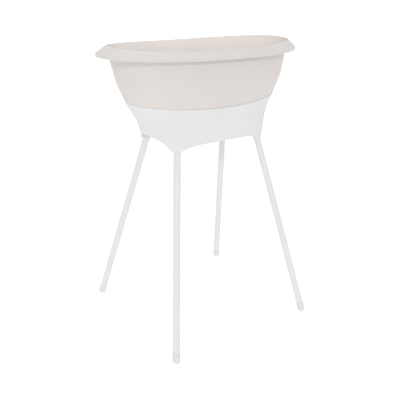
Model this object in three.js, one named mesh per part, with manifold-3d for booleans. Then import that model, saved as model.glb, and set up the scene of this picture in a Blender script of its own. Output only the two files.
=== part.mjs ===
// Baby bathtub on a four-legged stand.
//
// Millimetres, +Z up. The origin is on the floor, under the middle of the tub. +X runs along
// the tub's length and +Y across it. A deep oval tub with a rolled rim drops into a skirted
// cradle. The cradle has a blind socket moulded into each corner of its skirt, and a splayed
// tube leg pushes up into each socket. A plug closes a drain in the tub's floor.

import * as THREE from 'three';
import { mergeVertices } from 'three/addons/utils/BufferGeometryUtils.js';
import Module from 'manifold-3d';

const wasm = await Module();
wasm.setup();

// ---------------------------------------------------------------- driving dimensions

const GAP = 0.4; // running gap between pieces that touch

// Rim. The ridge is the highest line of the tub. The flange slopes out and down from it and
// ends in a down-turned lip. x is a line's shift towards the tub's head end, sag is how far
// it dips along the long sides, and rise is how far it is tilted up at the head end.
const RIDGE = { x: -3.5, a: 366.8, b: 172.4, n: 2.35, z: 1079.5, sag: 9.5, rise: 0 };
const LIP_EDGE = { x: -5, a: 404, b: 194, n: 2.3, z: 1044, sag: 4, rise: 3 };
const LEAN_START_Z = 950; // above this height the wall shifts over to meet the ridge
const LEAN_END_Z = 1044;
const SAG_END_Z = 905; // the wall's dip has faded out at this height
const LIP_WALL = 3;
const SHOULDER = 1.6; // half-width of the ridge's rounded top

// Flange section: [share of the way out, share of the way down] from ridge to lip edge.
const FLANGE_TOP = [[0, 0], [0.1, 0.05], [0.3, 0.19], [0.55, 0.39], [0.8, 0.59], [0.93, 0.69],
  [0.985, 0.745], [1, 0.8], [1, 0.97], [0.99, 1]];
const FLANGE_UNDER = [[0.8, 0.7], [0.55, 0.5], [0.3, 0.3], [0.14, 0.19]];
const LIP_ROOT_FALL = 0.84;

// Outside of the tub: [height, half-length, half-width, roundness exponent].
const TUB_WALL = 3.2;
const TUB_OUTSIDE = [
  [815, 222, 106, 2.5], [816.5, 236, 119, 2.5], [822, 249, 128, 2.5], [832, 261, 136, 2.4],
  [846, 274, 143, 2.3], [865, 292, 152, 2.22], [887, 308.5, 160.3, 2.2], [950, 337, 165, 2.3],
  [1000, 350, 169, 2.3], [1050, 361.5, 172.5, 2.33], [1075, 368.5, 174.2, 2.35],
];
const FLOOR_Z = 815; // underside of the tub's floor
const FLOOR_ROWS = [822, 832];
const WALL_ROWS = [846, 865, 887, 920, 965, 1015, 1067];

// Outside of the cradle's skirt, down to the mouths of the sockets.
const SKIRT_WALL = 3;
const SKIRT_OUTSIDE = [
  [724, 212, 128.5, 7], [750, 220, 134, 5.4], [790, 241, 142.5, 3.5], [815, 261.5, 148, 2.65],
  [840, 281, 152, 2.28], [865, 297, 157, 2.22], [887, 310.5, 162.3, 2.2],
];
const SKIRT_ROWS = [724, 737, 750, 770, 790, 812, 835, 855, 872, 887];
const SKIRT_SAG = 17; // the skirt's top edge dips along the long sides
const SKIRT_SAG_END_Z = 800;

// Lower edge of the skirt: half of each arch, as [distance from the middle, height].
const SIDE_ARCH = [[0, 741.5], [108, 741.5], [125, 740], [141, 737], [156, 732], [170, 727], [177, 720]];
const END_ARCH = [[0, 756], [41, 755], [66, 752.5], [84, 745], [99, 733], [106, 726], [109, 720]];

// Legs. Each axis meets the floor at LEG_FOOT and leans in to LEG_MOUTH at its socket's mouth.
const LEG_FOOT = { x: 311.8, y: 300.3 };
const LEG_MOUTH = { x: 182.1, y: 106.7, z: 724.1 };
const TUBE_R = 12.5;
const TUBE_WALL = 1.5;
const TUBE_START = 6.3; // distances along the leg, from the middle of its foot's ball
const TUBE_END = 827.2;
const LEG_TOP = 831.5;
const SOCKET_END = 832;
const SOCKET_BORE_R = TUBE_R + 0.35;
const SOCKET_R_MOUTH = 16;
const SOCKET_R_TOP = 18.5;
const SOCKET_TOP_Z = FLOOR_Z - GAP;
const RIB = { wall: 3, bottom: 738, top: 806, x: 174, y: 94, reach: 120 };
const BOOT = { x: 168, y: 92, top: 752 }; // fills the skirt's corner round each socket's mouth

const FOOT_R = 14;
const FOOT_BALL_Z = 13.2; // the ball is cut off 0.8 mm short, for a flat to stand on
const FOOT_TOP = 25;
const FOOT_SEAT = 6;
const FOOT_BOSS_TOP = 21;

// Drain, in a round recess of the tub's floor towards its right end.
const DRAIN_X = 150;
const RECESS_R = 33.2;
const RECESS_Z = 812.1;
const BOSS_R = 36.5;
const BOSS_Z = 808.9;
const FLOOR_HOLE_R = 19.6;
const DRAIN_TAIL_R = 19.1;
const DRAIN_BORE_R = 14.5;
const DRAIN_TAIL_Z = 782;

const OVAL_STEPS = 60; // facets round the tub and the skirt
const OVAL_CROWD = 0.1; // packs the facets closer together at the four corners
const ROUND_STEPS = 20; // facets round the legs
const DRAIN_STEPS = 24; // facets round the drain's pieces

// ---------------------------------------------------------------- materials

const tubPlastic = new THREE.MeshStandardMaterial({ color: 0xe0dad6, roughness: 0.38, metalness: 0 });
const cradlePlastic = new THREE.MeshStandardMaterial({ color: 0xe8e8e8, roughness: 0.42, metalness: 0 });
const legPaint = new THREE.MeshStandardMaterial({ color: 0xe5e5e5, roughness: 0.35, metalness: 0.1 });
const footPlastic = new THREE.MeshStandardMaterial({ color: 0xe2e2e2, roughness: 0.6, metalness: 0 });
const drainPlastic = new THREE.MeshStandardMaterial({ color: 0xe6e6e4, roughness: 0.3, metalness: 0 });
const sealRubber = new THREE.MeshStandardMaterial({ color: 0x8a8a88, roughness: 0.8, metalness: 0 });

// ---------------------------------------------------------------- helpers

const lerp = THREE.MathUtils.lerp;

// Smooth value of a table's columns at height z, with a cubic between neighbouring rows.
function sampleTable(table, z) {
  const last = table.length - 1;
  const clamped = Math.min(Math.max(z, table[0][0]), table[last][0]);
  let i = 0;
  while (i < last - 1 && clamped > table[i + 1][0]) {
    i += 1;
  }
  const z0 = table[i][0];
  const h = table[i + 1][0] - z0;
  const t = (clamped - z0) / h;
  const slope = (row, col) => {
    const lo = table[Math.max(row - 1, 0)];
    const hi = table[Math.min(row + 1, last)];
    return (hi[col] - lo[col]) / (hi[0] - lo[0]);
  };
  const value = (col) => {
    const h00 = (1 + 2 * t) * (1 - t) ** 2;
    const h10 = t * (1 - t) ** 2;
    const h01 = t * t * (3 - 2 * t);
    const h11 = t * t * (t - 1);
    return h00 * table[i][col] + h10 * h * slope(i, col)
      + h01 * table[i + 1][col] + h11 * h * slope(i + 1, col);
  };
  return { a: value(1), b: value(2), n: value(3) };
}

// Radial factor of a superellipse of exponent n in the direction phi.
function rounding(phi, n) {
  return (Math.abs(Math.cos(phi)) ** n + Math.abs(Math.sin(phi)) ** n) ** (-1 / n);
}

// Share of a sag that applies in the direction phi: 1 on the long sides, 0 at the ends.
function sagShare(phi, n) {
  return 1 - (rounding(phi, n) * Math.cos(phi)) ** 2;
}

// Directions round an oval. crowd above 0 packs them closer together at the four corners.
function directions(steps, crowd) {
  return Array.from({ length: steps }, (_, i) => {
    const t = (2 * Math.PI * i) / steps;
    return t + crowd * Math.sin(4 * t);
  });
}

function ovalPoint(phi, a, b, n, z) {
  const k = rounding(phi, n);
  return new THREE.Vector3(a * k * Math.cos(phi), b * k * Math.sin(phi), z);
}

// One ring of a table's surface, grown by offset, with a sag that fades out towards fadeZ.
function tableRing(angles, table, z, offset, sag, fadeZ) {
  const top = table[table.length - 1][0];
  const fade = THREE.MathUtils.smoothstep(z, fadeZ, top);
  return angles.map((phi) => {
    const drop = sag * fade * sagShare(phi, sampleTable(table, z).n);
    const s = sampleTable(table, z - drop);
    return ovalPoint(phi, s.a + offset, s.b + offset, s.n, z - drop);
  });
}

// Closed geometry through a stack of rings. Its two ends are joined to each other when
// looped is true, and otherwise closed by flat fans.
function loft(rings, looped) {
  const n = rings[0].length;
  const positions = [];
  const index = [];
  const push = (p) => {
    positions.push(p.x, p.y, p.z);
    return positions.length / 3 - 1;
  };
  rings.forEach((ring) => ring.forEach(push));
  const bands = looped ? rings.length : rings.length - 1;
  for (let r = 0; r < bands; r += 1) {
    const lower = r * n;
    const upper = ((r + 1) % rings.length) * n;
    for (let i = 0; i < n; i += 1) {
      const j = (i + 1) % n;
      index.push(lower + i, lower + j, upper + j);
      index.push(lower + i, upper + j, upper + i);
    }
  }
  if (!looped) {
    [[0, false], [rings.length - 1, true]].forEach(([r, up]) => {
      const centre = new THREE.Vector3();
      rings[r].forEach((p) => centre.add(p));
      const c = push(centre.divideScalar(n));
      for (let i = 0; i < n; i += 1) {
        const j = (i + 1) % n;
        if (up) {
          index.push(r * n + i, r * n + j, c);
        } else {
          index.push(r * n + j, r * n + i, c);
        }
      }
    });
  }
  const geometry = new THREE.BufferGeometry();
  geometry.setAttribute('position', new THREE.Float32BufferAttribute(positions, 3));
  geometry.setIndex(index);
  return geometry;
}

function toSolid(source) {
  const bare = source.clone();
  bare.deleteAttribute('normal');
  bare.deleteAttribute('uv');
  const merged = mergeVertices(bare, 1e-4);
  const mesh = new wasm.Mesh({
    numProp: 3,
    vertProperties: new Float32Array(merged.attributes.position.array),
    triVerts: new Uint32Array(merged.index.array),
  });
  mesh.merge();
  const solid = new wasm.Manifold(mesh);
  if (solid.volume() > 0) {
    return solid;
  }
  mesh.triVerts = mesh.triVerts.slice().reverse();
  return new wasm.Manifold(mesh);
}

function toGeometry(solid) {
  const mesh = solid.getMesh();
  const geometry = new THREE.BufferGeometry();
  geometry.setAttribute('position', new THREE.Float32BufferAttribute(mesh.vertProperties, 3));
  geometry.setIndex(new THREE.Uint32BufferAttribute(mesh.triVerts, 1));
  return geometry;
}

// Solid of revolution about +Z from [radius, height] pairs.
function turned(profile, steps) {
  const points = profile.map(([r, z]) => new THREE.Vector2(r, z));
  return toSolid(new THREE.LatheGeometry(points, steps).rotateX(Math.PI / 2));
}

function cylinder(r, bottom, top, steps) {
  return turned([[0, bottom], [r, bottom], [r, top], [0, top]], steps);
}

function ringProfile(inner, outer, bottom, top) {
  return [[inner, bottom], [outer, bottom], [outer, top], [inner, top], [inner, bottom]];
}

function box(w, d, h, x, y, z) {
  return toSolid(new THREE.BoxGeometry(w, d, h).translate(x, y, z));
}

function mesh(name, solid, material) {
  const part = new THREE.Mesh(toGeometry(solid), material);
  part.name = name;
  return part;
}

// ---------------------------------------------------------------- tub

function tubRings() {
  const angles = directions(OVAL_STEPS, OVAL_CROWD);
  const lean = (p) => p.setX(p.x + RIDGE.x * THREE.MathUtils.smoothstep(p.z, LEAN_START_Z, LEAN_END_Z));
  const wallRow = (z, offset) => tableRing(angles, TUB_OUTSIDE, z, offset, RIDGE.sag, SAG_END_Z).map(lean);
  const lineZ = (line, phi) => {
    const share = sagShare(phi, RIDGE.n);
    return line.z - line.sag * share - line.rise * rounding(phi, RIDGE.n) * Math.cos(phi);
  };
  const rimRing = (out, fall, inset) => angles.map((phi) => {
    const p = ovalPoint(
      phi,
      lerp(RIDGE.a, LIP_EDGE.a, out) - inset,
      lerp(RIDGE.b, LIP_EDGE.b, out) - inset,
      lerp(RIDGE.n, LIP_EDGE.n, out),
      lerp(lineZ(RIDGE, phi), lineZ(LIP_EDGE, phi), fall),
    );
    return p.setX(p.x + lerp(RIDGE.x, LIP_EDGE.x, out));
  });
  const flangeRing = ([out, fall]) => rimRing(out, fall, 0);
  const lipInside = (fall) => rimRing(1, fall, LIP_WALL);
  const floorInside = FLOOR_Z + TUB_WALL;
  const flat = (offset, z) => angles.map((phi) => {
    const s = sampleTable(TUB_OUTSIDE, FLOOR_Z);
    return ovalPoint(phi, s.a + offset, s.b + offset, s.n, z);
  });

  const inside = [
    flat(-TUB_WALL, floorInside),
    tableRing(angles, TUB_OUTSIDE, 816.5, -TUB_WALL, 0, 0).map((p) => p.setZ(floorInside + 1.2)),
    ...FLOOR_ROWS.map((z) => tableRing(angles, TUB_OUTSIDE, z, -TUB_WALL, 0, 0)
      .map((p) => p.setZ(z + 0.6 * TUB_WALL))),
    ...WALL_ROWS.map((z) => wallRow(z, -TUB_WALL)),
    rimRing(0, 0.05, SHOULDER),
  ];
  const outside = [
    ...FLANGE_TOP.map(flangeRing),
    lipInside(1),
    lipInside(LIP_ROOT_FALL),
    ...FLANGE_UNDER.map(flangeRing),
    ...[...WALL_ROWS].reverse().map((z) => wallRow(z, 0)),
    ...[...FLOOR_ROWS].reverse().map((z) => tableRing(angles, TUB_OUTSIDE, z, 0, 0, 0)),
    tableRing(angles, TUB_OUTSIDE, 816.5, 0, 0, 0),
    flat(0, FLOOR_Z),
  ];
  return [...inside, ...outside];
}

function tubShell() {
  const at = (solid) => solid.translate([DRAIN_X, 0, 0]);
  return toSolid(loft(tubRings(), false))
    .add(at(cylinder(BOSS_R, BOSS_Z, FLOOR_Z + 1, DRAIN_STEPS)))
    .subtract(at(cylinder(RECESS_R, RECESS_Z, FLOOR_Z + 10, DRAIN_STEPS)))
    .subtract(at(cylinder(FLOOR_HOLE_R, BOSS_Z - 5, FLOOR_Z, DRAIN_STEPS)));
}

// ---------------------------------------------------------------- drain

const FLANGE_BOTTOM_Z = RECESS_Z + 2.8;
const FLANGE_TOP_Z = FLANGE_BOTTOM_Z + 2.7;

function drainBody() {
  return turned([
    [DRAIN_BORE_R, DRAIN_TAIL_Z], [DRAIN_TAIL_R, DRAIN_TAIL_Z], [DRAIN_TAIL_R, FLANGE_BOTTOM_Z],
    [32.6, FLANGE_BOTTOM_Z], [32.6, FLANGE_TOP_Z - 1], [31.6, FLANGE_TOP_Z], [17, FLANGE_TOP_Z],
    [DRAIN_BORE_R, FLANGE_TOP_Z - 2.5], [DRAIN_BORE_R, DRAIN_TAIL_Z],
  ], DRAIN_STEPS);
}

function drainGasket() {
  return turned(ringProfile(FLOOR_HOLE_R, 31.5, RECESS_Z + GAP, FLANGE_BOTTOM_Z - GAP), DRAIN_STEPS);
}

function drainLockNut() {
  const top = BOSS_Z - GAP;
  const hexagon = toSolid(new THREE.CylinderGeometry(30, 30, 9, 6)
    .rotateX(Math.PI / 2)
    .translate(0, 0, top - 4.5));
  return hexagon.subtract(cylinder(DRAIN_TAIL_R + GAP, top - 20, top + 5, DRAIN_STEPS));
}

const PLUG_GROOVE_Z = 809;
const SEAL_R = 1.7;

function drainPlug() {
  const head = FLANGE_TOP_Z + GAP;
  return turned([
    [0, 803], [12.4, 803], [13.4, 804.5],
    [13.4, PLUG_GROOVE_Z - 2.1], [12, PLUG_GROOVE_Z - 1.9],
    [12, PLUG_GROOVE_Z + 1.9], [13.4, PLUG_GROOVE_Z + 2.1],
    [13.4, FLANGE_TOP_Z - 2], [15.8, head], [23, head], [24, head + 1], [23, head + 2.4],
    [8, head + 3.4], [5, head + 6], [5, head + 12], [8.5, head + 14], [8.5, head + 17.5],
    [6.5, head + 19], [0, head + 19.4],
  ], DRAIN_STEPS);
}

function drainPlugSeal() {
  const sides = 10;
  const centre = 12 + GAP - 0.1 + SEAL_R * 0.5;
  const profile = Array.from({ length: sides + 1 }, (_, i) => {
    const t = (2 * Math.PI * (i % sides)) / sides;
    return [centre + 0.5 * SEAL_R * Math.cos(t), PLUG_GROOVE_Z + 0.85 * SEAL_R * Math.sin(t)];
  });
  return turned(profile, DRAIN_STEPS);
}

// ---------------------------------------------------------------- legs

const leanX = (LEG_FOOT.x - LEG_MOUTH.x) / LEG_MOUTH.z;
const leanY = (LEG_FOOT.y - LEG_MOUTH.y) / LEG_MOUTH.z;
const TILT = Math.atan(Math.hypot(leanX, leanY));

// A point of the front left leg's axis at height z; the other three are its mirror images.
function legAxis(z, sideX, sideY) {
  return new THREE.Vector3(
    sideX * (LEG_FOOT.x - leanX * z),
    sideY * (LEG_FOOT.y - leanY * z),
    z,
  );
}

// Frame of one leg: its origin is the middle of the foot's ball and its +Z runs up the leg.
function legFrame(sideX, sideY) {
  const frame = new THREE.Group();
  frame.position.copy(legAxis(FOOT_BALL_Z, sideX, sideY));
  frame.rotation.set(0, TILT, Math.atan2(-sideY * leanY, -sideX * leanX), 'ZYX');
  frame.updateMatrixWorld();
  return frame;
}

function legTube() {
  return turned(ringProfile(TUBE_R - TUBE_WALL, TUBE_R, TUBE_START, TUBE_END), ROUND_STEPS);
}

function legTopPlug() {
  const shank = TUBE_R - TUBE_WALL - GAP;
  return turned([
    [0, TUBE_END - 24], [shank - 1, TUBE_END - 24], [shank, TUBE_END - 20], [shank, TUBE_END + 0.3],
    [TUBE_R - 0.2, TUBE_END + 0.3], [TUBE_R - 0.2, LEG_TOP - 1], [TUBE_R - 1.2, LEG_TOP], [0, LEG_TOP],
  ], ROUND_STEPS);
}

function legFoot() {
  const arcSteps = 6;
  const arc = Array.from({ length: arcSteps + 1 }, (_, i) => {
    const t = (-Math.PI / 2) * (1 - i / arcSteps);
    return [i === 0 ? 0 : FOOT_R * Math.cos(t), FOOT_R * Math.sin(t)];
  });
  const boss = TUBE_R - TUBE_WALL - GAP;
  const cap = turned([
    ...arc, [FOOT_R - 0.3, FOOT_TOP - 1], [FOOT_R - 0.8, FOOT_TOP],
    [TUBE_R + 0.3, FOOT_TOP], [TUBE_R + 0.3, FOOT_SEAT], [boss, FOOT_SEAT],
    [boss - 0.6, FOOT_BOSS_TOP], [0, FOOT_BOSS_TOP],
  ], ROUND_STEPS);
  const depth = 20;
  const floor = toSolid(new THREE.BoxGeometry(80, 80, depth)
    .translate(0, 0, -FOOT_BALL_Z - depth / 2)
    .rotateY(-TILT));
  return cap.subtract(floor);
}

// ---------------------------------------------------------------- cradle

function skirtRings(offset) {
  const angles = directions(OVAL_STEPS, OVAL_CROWD);
  return SKIRT_ROWS.map((z) => tableRing(angles, SKIRT_OUTSIDE, z, offset, SKIRT_SAG, SKIRT_SAG_END_Z));
}

// The skirt's top ring, drawn in to the tub's wall, which it steadies.
function seatRing() {
  const top = skirtRings(0).at(-1);
  return directions(OVAL_STEPS, OVAL_CROWD).map((phi, i) => {
    const { z } = top[i];
    const s = sampleTable(TUB_OUTSIDE, z);
    return ovalPoint(phi, s.a + GAP, s.b + GAP, s.n, z);
  });
}

// Mirrored half-arch as a closed outline, open at the bottom, run out to twice the depth.
function archCutter(half, depth) {
  const bottom = 700;
  const shape = new THREE.Shape();
  shape.moveTo(-half[half.length - 1][0], bottom);
  [...half].reverse().forEach(([d, z]) => shape.lineTo(-d, z));
  half.slice(1).forEach(([d, z]) => shape.lineTo(d, z));
  shape.lineTo(half[half.length - 1][0], bottom);
  return new THREE.ExtrudeGeometry(shape, { depth: 2 * depth, bevelEnabled: false })
    .translate(0, 0, -depth);
}

// Outside of one socket: level circles that follow the leg's axis.
function socketBody(sideX, sideY) {
  const rows = [
    [LEG_MOUTH.z, SOCKET_R_MOUTH], [745, 17.4], [770, SOCKET_R_TOP], [SOCKET_TOP_Z, SOCKET_R_TOP],
  ];
  const rings = rows.map(([z, r]) => {
    const c = legAxis(z, sideX, sideY);
    return directions(ROUND_STEPS, 0)
      .map((t) => new THREE.Vector3(c.x + r * Math.cos(t), c.y + r * Math.sin(t), z));
  });
  return toSolid(loft(rings, false));
}

function socketBore(sideX, sideY) {
  const start = 700;
  const bore = new THREE.CylinderGeometry(SOCKET_BORE_R, SOCKET_BORE_R, SOCKET_END - start, ROUND_STEPS)
    .rotateX(Math.PI / 2)
    .translate(0, 0, (SOCKET_END + start) / 2);
  return toSolid(bore.applyMatrix4(legFrame(sideX, sideY).matrixWorld));
}

const corners = [[-1, -1], [1, -1], [-1, 1], [1, 1]];

function cradleShell() {
  const inner = [...skirtRings(-SKIRT_WALL).slice(0, -1), seatRing()];
  const shell = toSolid(loft([...skirtRings(0), ...inner.reverse()], true));
  const envelope = toSolid(loft(skirtRings(-SKIRT_WALL / 2), false));
  const across = toSolid(archCutter(SIDE_ARCH, 200).rotateX(Math.PI / 2));
  const along = toSolid(archCutter(END_ARCH, 300).rotateX(Math.PI / 2).rotateZ(Math.PI / 2));
  const arched = (blank) => blank.subtract(across).subtract(along);
  let solid = arched(shell);
  const middle = (RIB.bottom + RIB.top) / 2;
  const height = RIB.top - RIB.bottom;
  corners.forEach(([sideX, sideY]) => {
    const ribX = box(RIB.reach, RIB.wall, height, sideX * (RIB.x + RIB.reach / 2), sideY * RIB.y, middle);
    const ribY = box(RIB.wall, RIB.reach, height, sideX * RIB.x, sideY * (RIB.y + RIB.reach / 2), middle);
    const boot = box(
      RIB.reach, RIB.reach, BOOT.top - LEG_MOUTH.z,
      sideX * (BOOT.x + RIB.reach / 2), sideY * (BOOT.y + RIB.reach / 2), (BOOT.top + LEG_MOUTH.z) / 2,
    );
    const filler = arched(ribX.add(ribY).add(boot).intersect(envelope));
    solid = solid.add(socketBody(sideX, sideY)).add(filler);
  });
  corners.forEach(([sideX, sideY]) => {
    solid = solid.subtract(socketBore(sideX, sideY));
  });
  return solid;
}

// ---------------------------------------------------------------- assembly

const bath = new THREE.Group();
bath.name = 'baby_bath';

const tub = new THREE.Group();
tub.name = 'tub';
tub.add(mesh('tub_shell', tubShell(), tubPlastic));

const drain = new THREE.Group();
drain.name = 'drain';
drain.position.set(DRAIN_X, 0, 0);
drain.add(mesh('drain_body', drainBody(), drainPlastic));
drain.add(mesh('drain_gasket', drainGasket(), sealRubber));
drain.add(mesh('drain_lock_nut', drainLockNut(), drainPlastic));
drain.add(mesh('drain_plug', drainPlug(), drainPlastic));
drain.add(mesh('drain_plug_seal', drainPlugSeal(), sealRubber));
tub.add(drain);
bath.add(tub);

const stand = new THREE.Group();
stand.name = 'stand';
stand.add(mesh('cradle_shell', cradleShell(), cradlePlastic));
corners.forEach(([sideX, sideY]) => {
  const place = `${sideY < 0 ? 'front' : 'rear'}_${sideX < 0 ? 'left' : 'right'}`;
  const leg = legFrame(sideX, sideY);
  leg.name = `leg_${place}`;
  leg.add(mesh(`leg_tube_${place}`, legTube(), legPaint));
  leg.add(mesh(`leg_top_plug_${place}`, legTopPlug(), footPlastic));
  leg.add(mesh(`leg_foot_${place}`, legFoot(), footPlastic));
  stand.add(leg);
});
bath.add(stand);

export default bath;
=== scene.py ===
"""Baby bathtub in a cradle on four splayed legs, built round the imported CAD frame."""

import math

import bmesh
import bpy
from mathutils import Euler, Matrix, Vector


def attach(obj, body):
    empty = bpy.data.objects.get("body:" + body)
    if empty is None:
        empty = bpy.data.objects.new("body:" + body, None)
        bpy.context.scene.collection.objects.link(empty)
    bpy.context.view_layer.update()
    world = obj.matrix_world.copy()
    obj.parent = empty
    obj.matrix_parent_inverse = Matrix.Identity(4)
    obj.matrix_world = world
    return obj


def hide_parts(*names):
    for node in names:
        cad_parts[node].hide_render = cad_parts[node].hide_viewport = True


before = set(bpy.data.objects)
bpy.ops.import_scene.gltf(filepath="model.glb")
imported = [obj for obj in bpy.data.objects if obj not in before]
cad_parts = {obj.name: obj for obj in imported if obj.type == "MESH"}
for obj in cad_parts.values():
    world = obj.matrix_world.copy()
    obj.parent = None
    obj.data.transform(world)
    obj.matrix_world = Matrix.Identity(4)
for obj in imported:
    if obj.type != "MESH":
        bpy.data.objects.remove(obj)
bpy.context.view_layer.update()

MM = 0.001

# ------------------------------------------------------------------ dimensions, millimetres

# Rim: the ridge is the line along its top, the lip edge its turned-down outer edge.
RIDGE = {"x": -3.5, "a": 366.8, "b": 172.4, "n": 2.35, "z": 1079.5, "sag": 9.5, "rise": 0}
LIP_EDGE = {"x": -5, "a": 404, "b": 194, "n": 2.3, "z": 1044, "sag": 4, "rise": 3}
LEAN_START_Z = 950
LEAN_END_Z = 1044
SAG_START_Z = 905
TUB_WALL = 3.2
LIP_WALL = 3
FLOOR_Z = 815
# Rows of height, half length, half width and the superellipse's exponent.
TUB_OUTSIDE = [
    (815, 222, 106, 2.5), (816.5, 236, 119, 2.5), (822, 249, 128, 2.5), (832, 261, 136, 2.4),
    (846, 274, 143, 2.3), (865, 292, 152, 2.22), (887, 308.5, 160.3, 2.2), (950, 337, 165, 2.3),
    (1000, 350, 169, 2.3), (1050, 361.5, 172.5, 2.33), (1075, 368.5, 174.2, 2.35),
]
FILLET_Z = [815.1, 815.4, 815.9, 816.5, 817.5, 819, 821, 823.5, 826.5, 830, 834, 838, 842]
FILLET_END_Z = 846
# Rim's section from the inner shoulder over the ridge to the lip: share out, share down.
RIM_TOP = [
    (-0.045, 0.13), (-0.043, 0.055), (-0.03, 0.012), (0, 0), (0.05, 0.012), (0.1, 0.042),
    (0.18, 0.098), (0.3, 0.19), (0.42, 0.287), (0.55, 0.39), (0.68, 0.494), (0.8, 0.588),
    (0.88, 0.65), (0.94, 0.7), (0.975, 0.737), (0.993, 0.78), (1, 0.83), (1, 0.9), (1, 0.96),
    (0.994, 0.99), (0.975, 1),
]
RIM_UNDER = [
    (0.9, 0.775), (0.8, 0.7), (0.68, 0.6), (0.55, 0.5), (0.42, 0.4), (0.3, 0.3), (0.2, 0.225),
    (0.12, 0.19),
]
# The lip's inside: share down, and the thickness there as a share of LIP_WALL.
LIP_INSIDE = [(1, 1), (0.985, 1.06), (0.9, 1.1), (0.82, 1.3)]

SKIRT_OUTSIDE = [
    (724, 212, 128.5, 7), (750, 220, 134, 5.4), (790, 241, 142.5, 3.5), (815, 261.5, 148, 2.65),
    (840, 281, 152, 2.28), (865, 297, 157, 2.22), (887, 310.5, 162.3, 2.2),
]
SKIRT_TOP_Z = 887
SKIRT_LOW_Z = 724.2
SKIRT_WALL = 3
SKIRT_SAG = 17
SEAT_GAP = 0.12
# Height of the skirt's lower edge against the distance from the middle of a side or an end.
SIDE_ARCH = [
    (0, 741.5), (108, 741.5), (125, 740), (141, 737), (156, 732), (170, 727), (177, SKIRT_LOW_Z),
]
END_ARCH = [
    (0, 756), (41, 755), (66, 752.5), (84, 745), (99, 733), (106, 726), (109, SKIRT_LOW_Z),
]
RIB = {"wall": 3, "bottom": 738, "top": 806, "x": 174, "y": 94}
BOOT = {"x": 168, "y": 92, "bottom": 724.3, "top": 752}

LEG_FOOT = (311.8, 300.3)
LEG_MOUTH = (182.1, 106.7, 724.1)
TUBE_R = 12.5
TUBE_WALL = 1.5
TUBE_START = 6.3
TUBE_END = 827.2
SOCKET_END = 832
SOCKET_BORE_R = 12.85
SOCKET_MOUTH_Z = 724.6
# Rows of height and radius.
SOCKET_OUTSIDE = [
    (724.9, 15.2), (724.3, 15.8), (725.2, 16.1), (735, 16.7), (745, 17.4), (757, 18.1), (770, 18.5),
    (785, 18.5), (800, 18.5), (813.4, 18.5), (814.3, 18.1), (814.6, 17),
]
FOOT_R = 14
FOOT_BALL_Z = 13.2
FOOT_TOP = 25
FOOT_SEAT = 6
FOOT_GAP = 0.3

DRAIN_X = 150
RECESS_R = 33.2
RECESS_Z = 812.1
RECESS_TOP_Z = 815.2
BOSS_R = 36.5
BOSS_Z = 808.9
FLOOR_HOLE_R = 19.6

OVAL_STEPS = 256  # columns round the tub and the skirt
OVAL_CROWD = 0.1  # packs the columns closer together at the four corners
TUBE_STEPS = 56
SOCKET_STEPS = 48
DRAIN_STEPS = 96


# ------------------------------------------------------------------ curves and surfaces

def lerp(a, b, t):
    return a + (b - a) * t


def even(lo, hi, count):
    return [lerp(lo, hi, i / (count - 1)) for i in range(count)]


def smoothstep(x, lo, hi):
    t = min(max((x - lo) / (hi - lo), 0), 1)
    return t * t * (3 - 2 * t)


def sample(table, z):
    """Smooth value of a table's columns at height z."""
    last = len(table) - 1
    z = min(max(z, table[0][0]), table[last][0])
    i = 0
    while i < last - 1 and z > table[i + 1][0]:
        i += 1
    z0, h = table[i][0], table[i + 1][0] - table[i][0]
    t = (z - z0) / h

    def slope(row, col):
        lo, hi = table[max(row - 1, 0)], table[min(row + 1, last)]
        return (hi[col] - lo[col]) / (hi[0] - lo[0])

    def value(col):
        return (
            (1 + 2 * t) * (1 - t) ** 2 * table[i][col]
            + t * (1 - t) ** 2 * h * slope(i, col)
            + t * t * (3 - 2 * t) * table[i + 1][col]
            + t * t * (t - 1) * h * slope(i + 1, col)
        )

    return value(1), value(2), value(3)


def along(table, x):
    """Height of an arch at distance x from its middle."""
    for (x0, z0), (x1, z1) in zip(table, table[1:]):
        if x <= x1:
            return lerp(z0, z1, (x - x0) / (x1 - x0))
    return table[-1][1]


def spread(points, parts):
    """Points along a Catmull-Rom curve through the given 2D points, parts to each span."""
    out = []
    last = len(points) - 1
    for i in range(last):
        p0, p1 = points[max(i - 1, 0)], points[i]
        p2, p3 = points[i + 1], points[min(i + 2, last)]
        for k in range(parts):
            t = k / parts
            out.append(tuple(
                0.5 * (2 * b + (c - a) * t + (2 * a - 5 * b + 4 * c - d) * t * t
                       + (3 * b - a - 3 * c + d) * t ** 3)
                for a, b, c, d in zip(p0, p1, p2, p3)
            ))
    out.append(points[last])
    return out


def rounding(phi, n):
    """Radius of the unit superellipse in the direction phi."""
    return (abs(math.cos(phi)) ** n + abs(math.sin(phi)) ** n) ** (-1 / n)


def sag_share(phi, n):
    """How much of a sagging line's drop a direction has: none at the ends, all at the sides."""
    return 1 - (rounding(phi, n) * math.cos(phi)) ** 2


def directions(steps, crowd=0.0):
    turns = [2 * math.pi * i / steps for i in range(steps)]
    return [t + crowd * math.sin(4 * t) for t in turns]


def oval(phi, a, b, n, z):
    k = rounding(phi, n)
    return Vector((a * k * math.cos(phi), b * k * math.sin(phi), z))


OVAL_ANGLES = directions(OVAL_STEPS, OVAL_CROWD)


# ------------------------------------------------------------------ mesh helpers

def bridge(bm, rings, looped=False, caps=(False, False)):
    """Quads between rings of points in millimetres; caps close the first and last ring."""
    rows = [[bm.verts.new(p * MM) for p in ring] for ring in rings]
    n = len(rows[0])
    count = len(rows) if looped else len(rows) - 1
    for r in range(count):
        low, high = rows[r], rows[(r + 1) % len(rows)]
        for i in range(n):
            j = (i + 1) % n
            bm.faces.new((low[i], low[j], high[j], high[i]))
    if caps[0]:
        bm.faces.new(list(reversed(rows[0])))
    if caps[1]:
        bm.faces.new(rows[-1])


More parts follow.
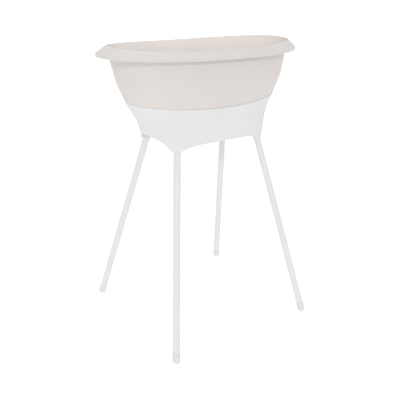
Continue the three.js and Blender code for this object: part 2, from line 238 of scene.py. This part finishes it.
def make_object(name, bm, material, sharp=35):
    """Object from a bmesh, smooth except along edges that turn more than sharp degrees."""
    bmesh.ops.recalc_face_normals(bm, faces=bm.faces)
    limit = math.radians(sharp)
    for edge in bm.edges:
        if len(edge.link_faces) == 2:
            edge.smooth = edge.calc_face_angle(0) < limit
    for face in bm.faces:
        face.smooth = True
    mesh = bpy.data.meshes.new(name)
    bm.to_mesh(mesh)
    bm.free()
    obj = bpy.data.objects.new(name, mesh)
    bpy.context.scene.collection.objects.link(obj)
    mesh.materials.append(material)
    return obj


def cut(obj, cutters):
    """Subtracts the cutters for good, then deletes them."""
    for cutter in cutters:
        mod = obj.modifiers.new("cut", "BOOLEAN")
        mod.operation = "DIFFERENCE"
        mod.solver = "EXACT"
        mod.object = cutter
    graph = bpy.context.evaluated_depsgraph_get()
    mesh = bpy.data.meshes.new_from_object(obj.evaluated_get(graph))
    obj.modifiers.clear()
    obj.data = mesh
    for cutter in cutters:
        bpy.data.objects.remove(cutter)


def revolve(profile, steps):
    """Rings of a solid of revolution about Z from (radius, height) pairs."""
    return [
        [Vector((r * math.cos(t), r * math.sin(t), z)) for t in directions(steps)]
        for r, z in profile
    ]


def move(rings, matrix):
    return [[matrix @ p for p in ring] for ring in rings]


def corner_name(side_x, side_y):
    return f"{'front' if side_y < 0 else 'rear'}_{'left' if side_x < 0 else 'right'}"


# ------------------------------------------------------------------ materials

def surface(name, colour, roughness, grain, variation=0.012, gloss_level=0.3):
    """Moulded or painted surface: faint colour drift, uneven gloss, fine grain and a painted
    highlight that lightens convex edges.

    grain is the scale and the strength of the finest bump.
    """
    mat = bpy.data.materials.new(name)
    mat.use_nodes = True
    nodes, links = mat.node_tree.nodes, mat.node_tree.links
    bsdf = nodes["Principled BSDF"]
    bsdf.inputs["Specular IOR Level"].default_value = gloss_level
    where = nodes.new("ShaderNodeTexCoord")

    def noise(scale, detail, rough=0.5):
        node = nodes.new("ShaderNodeTexNoise")
        node.inputs["Scale"].default_value = scale
        node.inputs["Detail"].default_value = detail
        node.inputs["Roughness"].default_value = rough
        links.new(where.outputs["Object"], node.inputs["Vector"])
        return node.outputs["Fac"]

    def remap(value, low, high, to_low, to_high):
        node = nodes.new("ShaderNodeMapRange")
        node.inputs["From Min"].default_value = low
        node.inputs["From Max"].default_value = high
        node.inputs["To Min"].default_value = to_low
        node.inputs["To Max"].default_value = to_high
        links.new(value, node.inputs["Value"])
        return node.outputs["Result"]

    def bump(height, strength, distance):
        node = nodes.new("ShaderNodeBump")
        node.inputs["Strength"].default_value = strength
        node.inputs["Distance"].default_value = distance
        links.new(height, node.inputs["Height"])
        return node

    def tint(factor):
        return (*[min(c * factor, 1) for c in colour], 1)

    drift = nodes.new("ShaderNodeValToRGB")
    dark, light = drift.color_ramp.elements
    dark.position, light.position = 0.3, 0.7
    dark.color, light.color = tint(1 - variation), tint(1 + variation)
    links.new(noise(6, 3), drift.inputs["Fac"])

    # Painted highlight: convex edges, picked out by pointiness, are given a slightly lighter colour.
    shape = nodes.new("ShaderNodeNewGeometry")
    painted_edge_highlight = nodes.new("ShaderNodeMix")
    painted_edge_highlight.data_type = "RGBA"
    painted_edge_highlight.inputs["B"].default_value = tint(1.06)
    links.new(remap(shape.outputs["Pointiness"], 0.54, 0.62, 0, 0.35), painted_edge_highlight.inputs["Factor"])
    links.new(drift.outputs["Color"], painted_edge_highlight.inputs["A"])
    links.new(painted_edge_highlight.outputs["Result"], bsdf.inputs["Base Color"])

    uneven = remap(noise(38, 5, 0.6), 0.3, 0.7, roughness - 0.05, roughness + 0.07)
    links.new(uneven, bsdf.inputs["Roughness"])

    fine = bump(noise(grain[0], 4, 0.55), grain[1], 0.0004)
    broad = bump(noise(9, 2), 0.05, 0.004)
    links.new(fine.outputs["Normal"], broad.inputs["Normal"])
    links.new(broad.outputs["Normal"], bsdf.inputs["Normal"])
    return mat


tub_plastic = surface("tub_plastic", (0.71, 0.672, 0.647), 0.46, (900, 0.12), gloss_level=0.2)
cradle_plastic = surface(
    "cradle_plastic", (0.765, 0.765, 0.765), 0.5, (1100, 0.15), gloss_level=0.15)
leg_paint = surface("leg_paint", (0.77, 0.77, 0.77), 0.45, (1600, 0.1), gloss_level=0.2)
foot_plastic = surface("foot_plastic", (0.75, 0.75, 0.75), 0.6, (1400, 0.25), gloss_level=0.15)
drain_plastic = surface("drain_plastic", (0.78, 0.78, 0.77), 0.28, (1400, 0.06))
seal_rubber = surface("seal_rubber", (0.24, 0.24, 0.235), 0.75, (1800, 0.3), variation=0.06)


# ------------------------------------------------------------------ tub

def tub_wall(z, offset):
    """Ring of the tub's wall, which sags and leans more towards the rim."""
    fade = smoothstep(z, SAG_START_Z, TUB_OUTSIDE[-1][0])
    ring = []
    for phi in OVAL_ANGLES:
        drop = RIDGE["sag"] * fade * sag_share(phi, sample(TUB_OUTSIDE, z)[2])
        a, b, n = sample(TUB_OUTSIDE, z - drop)
        p = oval(phi, a + offset, b + offset, n, z - drop)
        p.x += RIDGE["x"] * smoothstep(p.z, LEAN_START_Z, LEAN_END_Z)
        ring.append(p)
    return ring


def tub_fillet(z, offset, lift=0.0):
    """Ring of the rounded edge between the tub's wall and its floor."""
    a, b, n = sample(TUB_OUTSIDE, z)
    return [oval(phi, a + offset, b + offset, n, z + lift) for phi in OVAL_ANGLES]


def tub_disc(share, z, offset):
    """Ring on the tub's floor, rounder towards the middle."""
    a, b, n = sample(TUB_OUTSIDE, FLOOR_Z)
    return [oval(phi, (a + offset) * share, (b + offset) * share, lerp(2, n, share), z)
            for phi in OVAL_ANGLES]


def line_z(line, phi):
    """Height of the ridge or the lip edge in the direction phi."""
    k = rounding(phi, RIDGE["n"])
    return line["z"] - line["sag"] * sag_share(phi, RIDGE["n"]) - line["rise"] * k * math.cos(phi)


def rim(out, fall, inset=0.0):
    """Ring between the ridge and the lip edge: share out, share down."""
    out = min(out, 1)
    x, a, b, n = (lerp(RIDGE[k], LIP_EDGE[k], out) for k in ("x", "a", "b", "n"))
    ring = []
    for phi in OVAL_ANGLES:
        z = lerp(line_z(RIDGE, phi), line_z(LIP_EDGE, phi), fall)
        ring.append(oval(phi, a - inset, b - inset, n, z) + Vector((x, 0, 0)))
    return ring


def tub_rings():
    """Rings of the whole shell: up the inside, over the rim and down the outside."""
    floor_shares = (0.02, 0.3, 0.6, 0.8, 0.92)
    walls = [FILLET_END_Z, 851, 857, 864, 872] + even(880, 1066, 26)
    rings = [tub_disc(share, FLOOR_Z + TUB_WALL, -TUB_WALL) for share in floor_shares]
    for z in FILLET_Z:
        lift = TUB_WALL * (1 - smoothstep(z, FLOOR_Z, FILLET_END_Z))
        rings.append(tub_fillet(z, -TUB_WALL, lift))
    rings += [tub_wall(z, -TUB_WALL) for z in walls]
    rings += [rim(out, fall) for out, fall in spread(RIM_TOP, 2)]
    rings += [rim(1, fall, LIP_WALL * share) for fall, share in LIP_INSIDE]
    rings += [rim(out, fall) for out, fall in spread(RIM_UNDER, 2)]
    rings += [tub_wall(z, 0) for z in reversed(walls)]
    rings += [tub_fillet(z, 0) for z in reversed(FILLET_Z)]
    rings += [tub_disc(share, FLOOR_Z, 0) for share in reversed(floor_shares)]
    return rings


def drain_cutter(name, radius, bottom, top):
    bm = bmesh.new()
    rings = revolve([(radius, bottom), (radius, top)], DRAIN_STEPS)
    bridge(bm, move(rings, Matrix.Translation((DRAIN_X, 0, 0))), caps=(True, True))
    return make_object(name, bm, drain_plastic)


def make_tub():
    bm = bmesh.new()
    bridge(bm, tub_rings(), caps=(True, True))
    tub = make_object("tub", bm, tub_plastic, sharp=50)
    cut(tub, [
        drain_cutter("recess_cut", RECESS_R, RECESS_Z, FLOOR_Z + 10),
        drain_cutter("hole_cut", FLOOR_HOLE_R, FLOOR_Z - 15, FLOOR_Z + 5),
    ])
    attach(tub, "tub")
    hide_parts("tub_shell")


def make_drain_recess():
    """The drain's recess, a cup that hangs just below the tub's floor."""
    cup = [
        (FLOOR_HOLE_R, BOSS_Z), (BOSS_R - 1, BOSS_Z), (BOSS_R, BOSS_Z + 1), (BOSS_R, RECESS_TOP_Z),
        (RECESS_R, RECESS_TOP_Z), (RECESS_R, RECESS_Z), (FLOOR_HOLE_R, RECESS_Z),
    ]
    bm = bmesh.new()
    bridge(bm, move(revolve(cup, DRAIN_STEPS), Matrix.Translation((DRAIN_X, 0, 0))), looped=True)
    recess = make_object("tub_drain_recess", bm, tub_plastic)
    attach(recess, "tub")


make_tub()
make_drain_recess()


# ------------------------------------------------------------------ leg axes

CORNERS = [(-1, -1), (1, -1), (-1, 1), (1, 1)]


def leg_axis(z, side_x, side_y):
    lean_x = (LEG_FOOT[0] - LEG_MOUTH[0]) / LEG_MOUTH[2]
    lean_y = (LEG_FOOT[1] - LEG_MOUTH[1]) / LEG_MOUTH[2]
    return Vector((side_x * (LEG_FOOT[0] - lean_x * z), side_y * (LEG_FOOT[1] - lean_y * z), z))


def leg_matrix(side_x, side_y):
    """Leg's frame: origin in the middle of the foot's ball, +Z up the leg."""
    low, high = leg_axis(FOOT_BALL_Z, side_x, side_y), leg_axis(LEG_MOUTH[2], side_x, side_y)
    up = (high - low).normalized()
    tilt = math.acos(up.z)
    turn = math.atan2(up.y, up.x)
    return Matrix.Translation(low) @ Matrix.Rotation(turn, 4, "Z") @ Matrix.Rotation(tilt, 4, "Y")


# ------------------------------------------------------------------ cradle

def skirt_bottom(phi):
    """Height of the skirt's lower edge in the direction phi, found by halving the error."""
    z = 740.0
    for _ in range(30):
        a, b, n = sample(SKIRT_OUTSIDE, z)
        p = oval(phi, a, b, n, z)
        x, y = abs(p.x), abs(p.y)
        side, end = SIDE_ARCH[-1][0], END_ARCH[-1][0]
        target = SKIRT_LOW_Z
        if x < side and y > end:
            target = along(SIDE_ARCH, x)
        elif y < end:
            target = along(END_ARCH, y)
        z = lerp(z, target, 0.5)
    return z


def skirt_rings():
    """Rings of the skirt: up the outside, over its top edge and down the inside."""
    raw = [skirt_bottom(phi) for phi in OVAL_ANGLES]
    window = range(-2, 3)  # rounds off the corners of the lower edge
    bottom = [sum(raw[(i + k) % OVAL_STEPS] for k in window) / len(window)
              for i in range(OVAL_STEPS)]
    top_n = SKIRT_OUTSIDE[-1][3]
    top = [SKIRT_TOP_Z - SKIRT_SAG * sag_share(phi, top_n) for phi in OVAL_ANGLES]

    def row(share, offset, table=SKIRT_OUTSIDE):
        ring = []
        for phi, low, high in zip(OVAL_ANGLES, bottom, top):
            z = lerp(low, high, share)
            a, b, n = sample(table, z)
            ring.append(oval(phi, a + offset, b + offset, n, z))
        return ring

    def seat(share, gap):
        return row(share, gap, TUB_OUTSIDE)

    shares = even(0.02, 0.985, 34)
    rings = [row(0, -0.6), row(0.005, -0.15), row(0.012, 0)]
    rings += [row(share, 0) for share in shares]
    rings += [row(0.9893, -0.2), row(0.994, -0.82)]
    rings += [seat(1, SEAT_GAP), seat(0.996, SEAT_GAP), seat(0.985, 0.3)]
    rings += [row(share, -SKIRT_WALL) for share in reversed(shares[:-2])]
    rings += [row(0.012, -SKIRT_WALL), row(0.005, -2.85), row(0, -2.4)]
    return rings


def socket_rings(side_x, side_y):
    """Rings of a closed socket: the leg's bore inside, level circles outside."""
    turns = directions(SOCKET_STEPS)
    place = leg_matrix(side_x, side_y)
    up = Vector((place[0][2], place[1][2], place[2][2]))
    spin = math.atan2(up.y, up.x)
    bore = []
    mouth = []
    for t in turns:
        side = Vector((SOCKET_BORE_R * math.cos(t - spin), SOCKET_BORE_R * math.sin(t - spin), 0))
        start = place @ side
        mouth.append(start + up * ((SOCKET_MOUTH_Z - start.z) / up.z))
        bore.append(place @ (side + Vector((0, 0, SOCKET_END))))
    outer = []
    for z, r in SOCKET_OUTSIDE:
        centre = leg_axis(z, side_x, side_y)
        outer.append([centre + Vector((r * math.cos(t), r * math.sin(t), 0)) for t in turns])
    return [bore, mouth] + outer


def rib(bm, side_x, side_y, along_x):
    """Web from a socket to the skirt."""
    half = RIB["wall"] / 2
    rows = []
    for z in even(RIB["bottom"], RIB["top"], 12):
        a, b, n = sample(SKIRT_OUTSIDE, z)
        a -= SKIRT_WALL / 2
        b -= SKIRT_WALL / 2
        x, y = RIB["x"], RIB["y"]
        if along_x:
            reach = a * (1 - (y / b) ** n) ** (1 / n)
            ends = [(x, y - half), (reach, y - half), (reach, y + half), (x, y + half)]
        else:
            reach = b * (1 - (x / a) ** n) ** (1 / n)
            ends = [(x - half, y), (x - half, reach), (x + half, reach), (x + half, y)]
        rows.append([Vector((side_x * x, side_y * y, z)) for x, y in ends])
    bridge(bm, rows, caps=(True, True))


def boot_outline():
    """The skirt's rounded corner at its foot, from the boot's side plane to its end plane."""
    a, b, n = sample(SKIRT_OUTSIDE, LEG_MOUTH[2])
    corner = [oval(phi, a - 1, b - 1, n, 0) for phi in even(0.2, 1.2, 400)]
    arc = [p for p in corner if p.x > BOOT["x"] and p.y > BOOT["y"]]
    arc = arc[::max(len(arc) // 48, 1)]
    arc[0] = Vector((arc[0].x, BOOT["y"], 0))
    arc[-1] = Vector((BOOT["x"], arc[-1].y, 0))
    return arc


def boot_bottom(x, y):
    """Height of the boot's underside, which follows the skirt's two arches."""
    z = BOOT["bottom"]
    if x < SIDE_ARCH[-1][0]:
        z = max(z, along(SIDE_ARCH, x))
    if y < END_ARCH[-1][0]:
        z = max(z, along(END_ARCH, y))
    return z


def make_boot(side_x, side_y):
    """Filler of the skirt's corner round the socket's mouth, with the leg's bore cut."""
    arc = boot_outline()
    centre = Vector((BOOT["x"], BOOT["y"], 0))
    bm = bmesh.new()

    def layer(height):
        rows = []
        for share in even(0.02, 1, 30):
            places = [centre.lerp(p, share) for p in arc]
            rows.append([
                bm.verts.new(Vector((side_x * p.x, side_y * p.y, height(p.x, p.y))) * MM)
                for p in places
            ])
        return rows

    def quads(first, second):
        for i in range(len(first) - 1):
            bm.faces.new((first[i], first[i + 1], second[i + 1], second[i]))

    low, high = layer(boot_bottom), layer(lambda x, y: BOOT["top"])
    for rows in (low, high):
        for inner, outer in zip(rows, rows[1:]):
            quads(inner, outer)
    quads(low[0], high[0])
    quads(low[-1], high[-1])
    quads([row[0] for row in low], [row[0] for row in high])
    quads([row[-1] for row in low], [row[-1] for row in high])
    boot = make_object(f"cradle_boot_{corner_name(side_x, side_y)}", bm, cradle_plastic)

    bore = bmesh.new()
    rings = revolve([(SOCKET_BORE_R, 660), (SOCKET_BORE_R, 800)], TUBE_STEPS)
    bridge(bore, move(rings, leg_matrix(side_x, side_y)), caps=(True, True))
    cut(boot, [make_object("bore_cut", bore, cradle_plastic)])
    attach(boot, "stand")


def make_cradle():
    bm = bmesh.new()
    bridge(bm, skirt_rings(), looped=True)
    for side_x, side_y in CORNERS:
        bridge(bm, socket_rings(side_x, side_y), caps=(True, True))
        rib(bm, side_x, side_y, along_x=True)
        rib(bm, side_x, side_y, along_x=False)
        make_boot(side_x, side_y)
    cradle = make_object("cradle", bm, cradle_plastic, sharp=40)
    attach(cradle, "stand")
    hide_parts("cradle_shell")


make_cradle()


# ------------------------------------------------------------------ legs

def foot_rings(place):
    """Rounded cap on the tube's end, flattened where it stands."""
    ball = [(FOOT_R * math.cos(t), FOOT_R * math.sin(t)) for t in even(-math.radians(88), 0, 22)]
    profile = ball + [
        (FOOT_R, 4), (FOOT_R - 0.15, 14), (FOOT_R - 0.3, FOOT_TOP - 1.2),
        (FOOT_R - 0.5, FOOT_TOP - 0.4), (FOOT_R - 0.9, FOOT_TOP), (TUBE_R + 0.35, FOOT_TOP),
        (TUBE_R + FOOT_GAP, FOOT_TOP - 1), (TUBE_R + FOOT_GAP, FOOT_SEAT), (10.6, FOOT_SEAT),
        (10.6, 19), (9.6, 21), (0.3, 21),
    ]
    rings = move(revolve(profile, TUBE_STEPS), place)
    return [[Vector((p.x, p.y, max(p.z, 0.0))) for p in ring] for ring in rings]


def tube_rings(place):
    """Steel tube with its two cut ends eased."""
    inner, ease = TUBE_R - TUBE_WALL, 0.4
    profile = [(inner, TUBE_START), (TUBE_R - ease, TUBE_START), (TUBE_R, TUBE_START + ease)]
    profile += [(TUBE_R, z) for z in even(20, TUBE_END - 12, 14)]
    profile += [(TUBE_R, TUBE_END - ease), (TUBE_R - ease, TUBE_END), (inner, TUBE_END)]
    return move(revolve(profile, TUBE_STEPS), place)


def make_leg(side_x, side_y):
    corner = corner_name(side_x, side_y)
    place = leg_matrix(side_x, side_y)

    bm = bmesh.new()
    bridge(bm, tube_rings(place), looped=True)
    tube = make_object(f"tube_{corner}", bm, leg_paint)
    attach(tube, f"leg_{corner}")
    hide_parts(f"leg_tube_{corner}")

    bm = bmesh.new()
    bridge(bm, foot_rings(place), caps=(True, True))
    foot = make_object(f"foot_{corner}", bm, foot_plastic, sharp=50)
    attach(foot, f"leg_{corner}")
    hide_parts(f"leg_foot_{corner}")


for side_x, side_y in CORNERS:
    make_leg(side_x, side_y)


# ------------------------------------------------------------------ carried-over CAD nodes

CAD_LOOKS = {
    "drain_body": drain_plastic,
    "drain_gasket": seal_rubber,
    "drain_lock_nut": drain_plastic,
    "drain_plug": drain_plastic,
    "drain_plug_seal": seal_rubber,
}
for side_x, side_y in CORNERS:
    CAD_LOOKS[f"leg_top_plug_{corner_name(side_x, side_y)}"] = foot_plastic

for node, look in CAD_LOOKS.items():
    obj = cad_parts[node]
    if not obj.material_slots:
        obj.data.materials.append(look)
    for entry in obj.material_slots:
        entry.material = look


# ------------------------------------------------------------------ floor, light and camera

def make_floor():
    """Pale floor that glows, as a light table does."""
    bm = bmesh.new()
    bmesh.ops.create_grid(bm, x_segments=8, y_segments=8, size=200)
    material = surface("floor", (0.42, 0.42, 0.42), 0.6, (300, 0.05), variation=0.002)
    glow = material.node_tree.nodes["Principled BSDF"].inputs
    glow["Emission Color"].default_value = (1, 1, 1, 1)
    glow["Emission Strength"].default_value = 0.67
    make_object("floor", bm, material)


def make_world():
    """Soft white light from all round, in front of a white backdrop."""
    world = bpy.data.worlds.new("studio")
    world.use_nodes = True
    nodes, links = world.node_tree.nodes, world.node_tree.links
    ambient = nodes["Background"]
    backdrop = nodes.new("ShaderNodeBackground")
    for background, strength in ((ambient, 0.665), (backdrop, 1)):
        background.inputs["Color"].default_value = (1, 1, 1, 1)
        background.inputs["Strength"].default_value = strength
    ray = nodes.new("ShaderNodeLightPath")
    choose = nodes.new("ShaderNodeMixShader")
    links.new(ray.outputs["Is Camera Ray"], choose.inputs["Fac"])
    links.new(ambient.outputs["Background"], choose.inputs[1])
    links.new(backdrop.outputs["Background"], choose.inputs[2])
    links.new(choose.outputs["Shader"], nodes["World Output"].inputs["Surface"])
    bpy.context.scene.world = world


def lamp(name, kind, energy, place, target):
    """Lamp at a place in metres, aimed at a target."""
    data = bpy.data.lights.new(name, kind)
    data.energy = energy
    obj = bpy.data.objects.new(name, data)
    obj.location = place
    obj.rotation_euler = (Vector(target) - Vector(place)).to_track_quat("-Z", "Y").to_euler()
    bpy.context.scene.collection.objects.link(obj)
    return obj


def make_lamps():
    """Soft light from the left and above, a harder front light, and a strip for the bath's inside."""
    lamp("key", "SUN", 0.03, (-3, -1.2, 1.6), (0, 0, 0.8)).data.angle = math.radians(100)
    lamp("overhead", "SUN", 0.72, (0, 0, 4), (0, 0, 0)).data.angle = math.radians(70)
    lamp("front", "SUN", 0.53, (-2.82, -4.04, 2.62), (0, 0, 0)).data.angle = math.radians(5)
    inside = lamp("inside", "AREA", 0.72, (0, -0.1, 1.3), (0.02, 0.9, 1.03))
    inside.data.shape = "RECTANGLE"
    inside.data.size, inside.data.size_y = 0.5, 0.1
    inside.visible_camera = False


def make_camera():
    data = bpy.data.cameras.new("camera")
    data.sensor_width = 36
    data.lens = 51.783
    data.clip_end = 1000
    camera = bpy.data.objects.new("camera", data)
    camera.location = (-1.237, -1.7324, 1.3129)
    camera.rotation_euler = Euler([math.radians(a) for a in (68.304, -0.795, -35.109)])
    bpy.context.scene.collection.objects.link(camera)
    bpy.context.scene.camera = camera


make_floor()
make_world()
make_lamps()
make_camera()
bpy.context.scene.view_settings.view_transform = "Standard"
